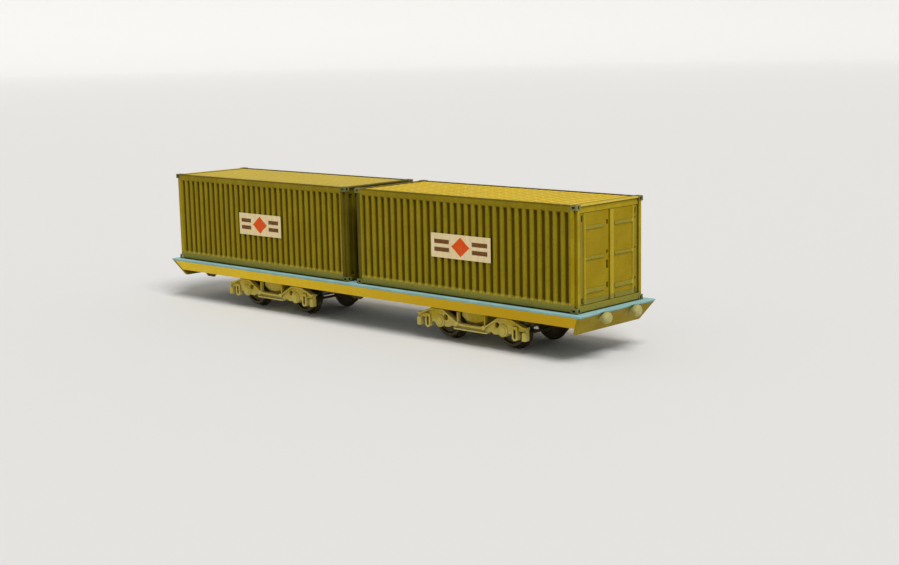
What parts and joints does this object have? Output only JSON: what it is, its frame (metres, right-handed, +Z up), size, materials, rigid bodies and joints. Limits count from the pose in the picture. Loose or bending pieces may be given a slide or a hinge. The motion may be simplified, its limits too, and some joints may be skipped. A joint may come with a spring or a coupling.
{
  "type": "model flat car",
  "caption": "H0 bogie flat car with a shallow leaning-sided body, round buffers and a load of two ribbed olive containers with hinged doors.",
  "frame": {"origin": "the point under the middle of the deck at the level of the lowest points of the wheel flanges, which is the bottom centre of the bounding box", "axes": "+X along the car towards the headstock_b end (the end whose container doors face the buffers of container b), +Y to the car's left side, +Z up"},
  "size_m": [0.1744, 0.0326, 0.041],
  "materials": {
    "deck_paint": "satin, slightly dusty",
    "sill_paint": "satin ochre",
    "underframe_paint": "matt",
    "screw_steel": "plain",
    "lug_plastic": "matt",
    "buffer_plastic": "smooth, slightly worn",
    "bogie_khaki": "cast, satin, worn edges",
    "spring_dark": "satin",
    "bearing_brass": "machined",
    "axle_steel": "turned",
    "wheel_steel": "turned, darkened",
    "container_olive": "satin, mottled",
    "roof_olive": "satin, worn",
    "door_olive": "satin",
    "floor_plastic": "matt",
    "casting_grey": "satin, worn edges",
    "label_paper": "printed sticker, matt",
    "pin_steel": "drawn wire"
  },
  "bodies": {
    "car_body": {"deck_plate": "deck_paint", "side_sill_left": "sill_paint", "side_sill_right": "sill_paint", "headstock_a": "sill_paint", "headstock_b": "sill_paint", "centre_sill": "underframe_paint", "cross_members": "underframe_paint", "body_bolsters": "underframe_paint", "kingpin_screws": "screw_steel", "sill_lugs": "lug_plastic", "buffer_stems": "buffer_plastic", "buffer_heads": "buffer_plastic", "container_pegs": "lug_plastic"},
    "bogie_a": {"bogie_a_bolster": "bogie_khaki", "bogie_a_sideframe_left": "bogie_khaki", "bogie_a_sideframe_right": "bogie_khaki", "bogie_a_leaf_springs": "spring_dark", "bogie_a_bearing_cups": "bearing_brass", "bogie_a_brake_gear": "bogie_khaki"},
    "bogie_b": {"bogie_b_bolster": "bogie_khaki", "bogie_b_sideframe_left": "bogie_khaki", "bogie_b_sideframe_right": "bogie_khaki", "bogie_b_leaf_springs": "spring_dark", "bogie_b_bearing_cups": "bearing_brass", "bogie_b_brake_gear": "bogie_khaki"},
    "wheelset_1": {"wheelset_1_axle": "axle_steel", "wheelset_1_wheels": "wheel_steel"},
    "wheelset_2": {"wheelset_2_axle": "axle_steel", "wheelset_2_wheels": "wheel_steel"},
    "wheelset_3": {"wheelset_3_axle": "axle_steel", "wheelset_3_wheels": "wheel_steel"},
    "wheelset_4": {"wheelset_4_axle": "axle_steel", "wheelset_4_wheels": "wheel_steel"},
    "container_a": {"container_a_floor": "floor_plastic", "container_a_side_left": "container_olive", "container_a_side_right": "container_olive", "container_a_roof": "roof_olive", "container_a_front_end": "container_olive", "container_a_door_frame": "container_olive", "container_a_corner_castings": "casting_grey", "container_a_labels": "label_paper", "container_a_hinge_pins": "pin_steel"},
    "container_b": {"container_b_floor": "floor_plastic", "container_b_side_left": "container_olive", "container_b_side_right": "container_olive", "container_b_roof": "roof_olive", "container_b_front_end": "container_olive", "container_b_door_frame": "container_olive", "container_b_corner_castings": "casting_grey", "container_b_labels": "label_paper", "container_b_hinge_pins": "pin_steel"},
    "door_a_left": {"container_a_door_left": "door_olive"},
    "door_a_right": {"container_a_door_right": "door_olive"},
    "door_b_left": {"container_b_door_left": "door_olive"},
    "door_b_right": {"container_b_door_right": "door_olive"}
  },
  "joints": [
    {"name": "bogie_a_swivel", "type": "hinge", "parent": "car_body", "child": "bogie_a", "pos_m": [-0.0385, 0, 0.0088], "axis": [0, 0, 1], "range_deg": [-10, 10]},
    {"name": "bogie_b_swivel", "type": "hinge", "parent": "car_body", "child": "bogie_b", "pos_m": [0.0453, 0, 0.0088], "axis": [0, 0, 1], "range_deg": [-10, 10]},
    {"name": "wheelset_1_roll", "type": "hinge", "parent": "bogie_a", "child": "wheelset_1", "pos_m": [-0.05, 0, 0.0058], "axis": [0, 1, 0], "continuous": true},
    {"name": "wheelset_2_roll", "type": "hinge", "parent": "bogie_a", "child": "wheelset_2", "pos_m": [-0.027, 0, 0.0058], "axis": [0, 1, 0], "continuous": true},
    {"name": "wheelset_3_roll", "type": "hinge", "parent": "bogie_b", "child": "wheelset_3", "pos_m": [0.0338, 0, 0.0058], "axis": [0, 1, 0], "continuous": true},
    {"name": "wheelset_4_roll", "type": "hinge", "parent": "bogie_b", "child": "wheelset_4", "pos_m": [0.0568, 0, 0.0058], "axis": [0, 1, 0], "continuous": true},
    {"name": "container_a_lift", "type": "slide", "parent": "car_body", "child": "container_a", "axis": [0, 0, 1], "range_m": [0, 0.03]},
    {"name": "container_b_lift", "type": "slide", "parent": "car_body", "child": "container_b", "axis": [0, 0, 1], "range_m": [0, 0.03]},
    {"name": "door_b_left_hinge", "type": "hinge", "parent": "container_b", "child": "door_b_left", "pos_m": [0.08148, 0.01205, 0.02695], "axis": [0, 0, 1], "range_deg": [0, 95]},
    {"name": "door_b_right_hinge", "type": "hinge", "parent": "container_b", "child": "door_b_right", "pos_m": [0.08148, -0.01205, 0.02695], "axis": [0, 0, -1], "range_deg": [0, 95]},
    {"name": "door_a_left_hinge", "type": "hinge", "parent": "container_a", "child": "door_a_left", "pos_m": [-0.08238, -0.01205, 0.02695], "axis": [0, 0, 1], "range_deg": [0, 95]},
    {"name": "door_a_right_hinge", "type": "hinge", "parent": "container_a", "child": "door_a_right", "pos_m": [-0.08238, 0.01205, 0.02695], "axis": [0, 0, -1], "range_deg": [0, 95]}
  ]
}
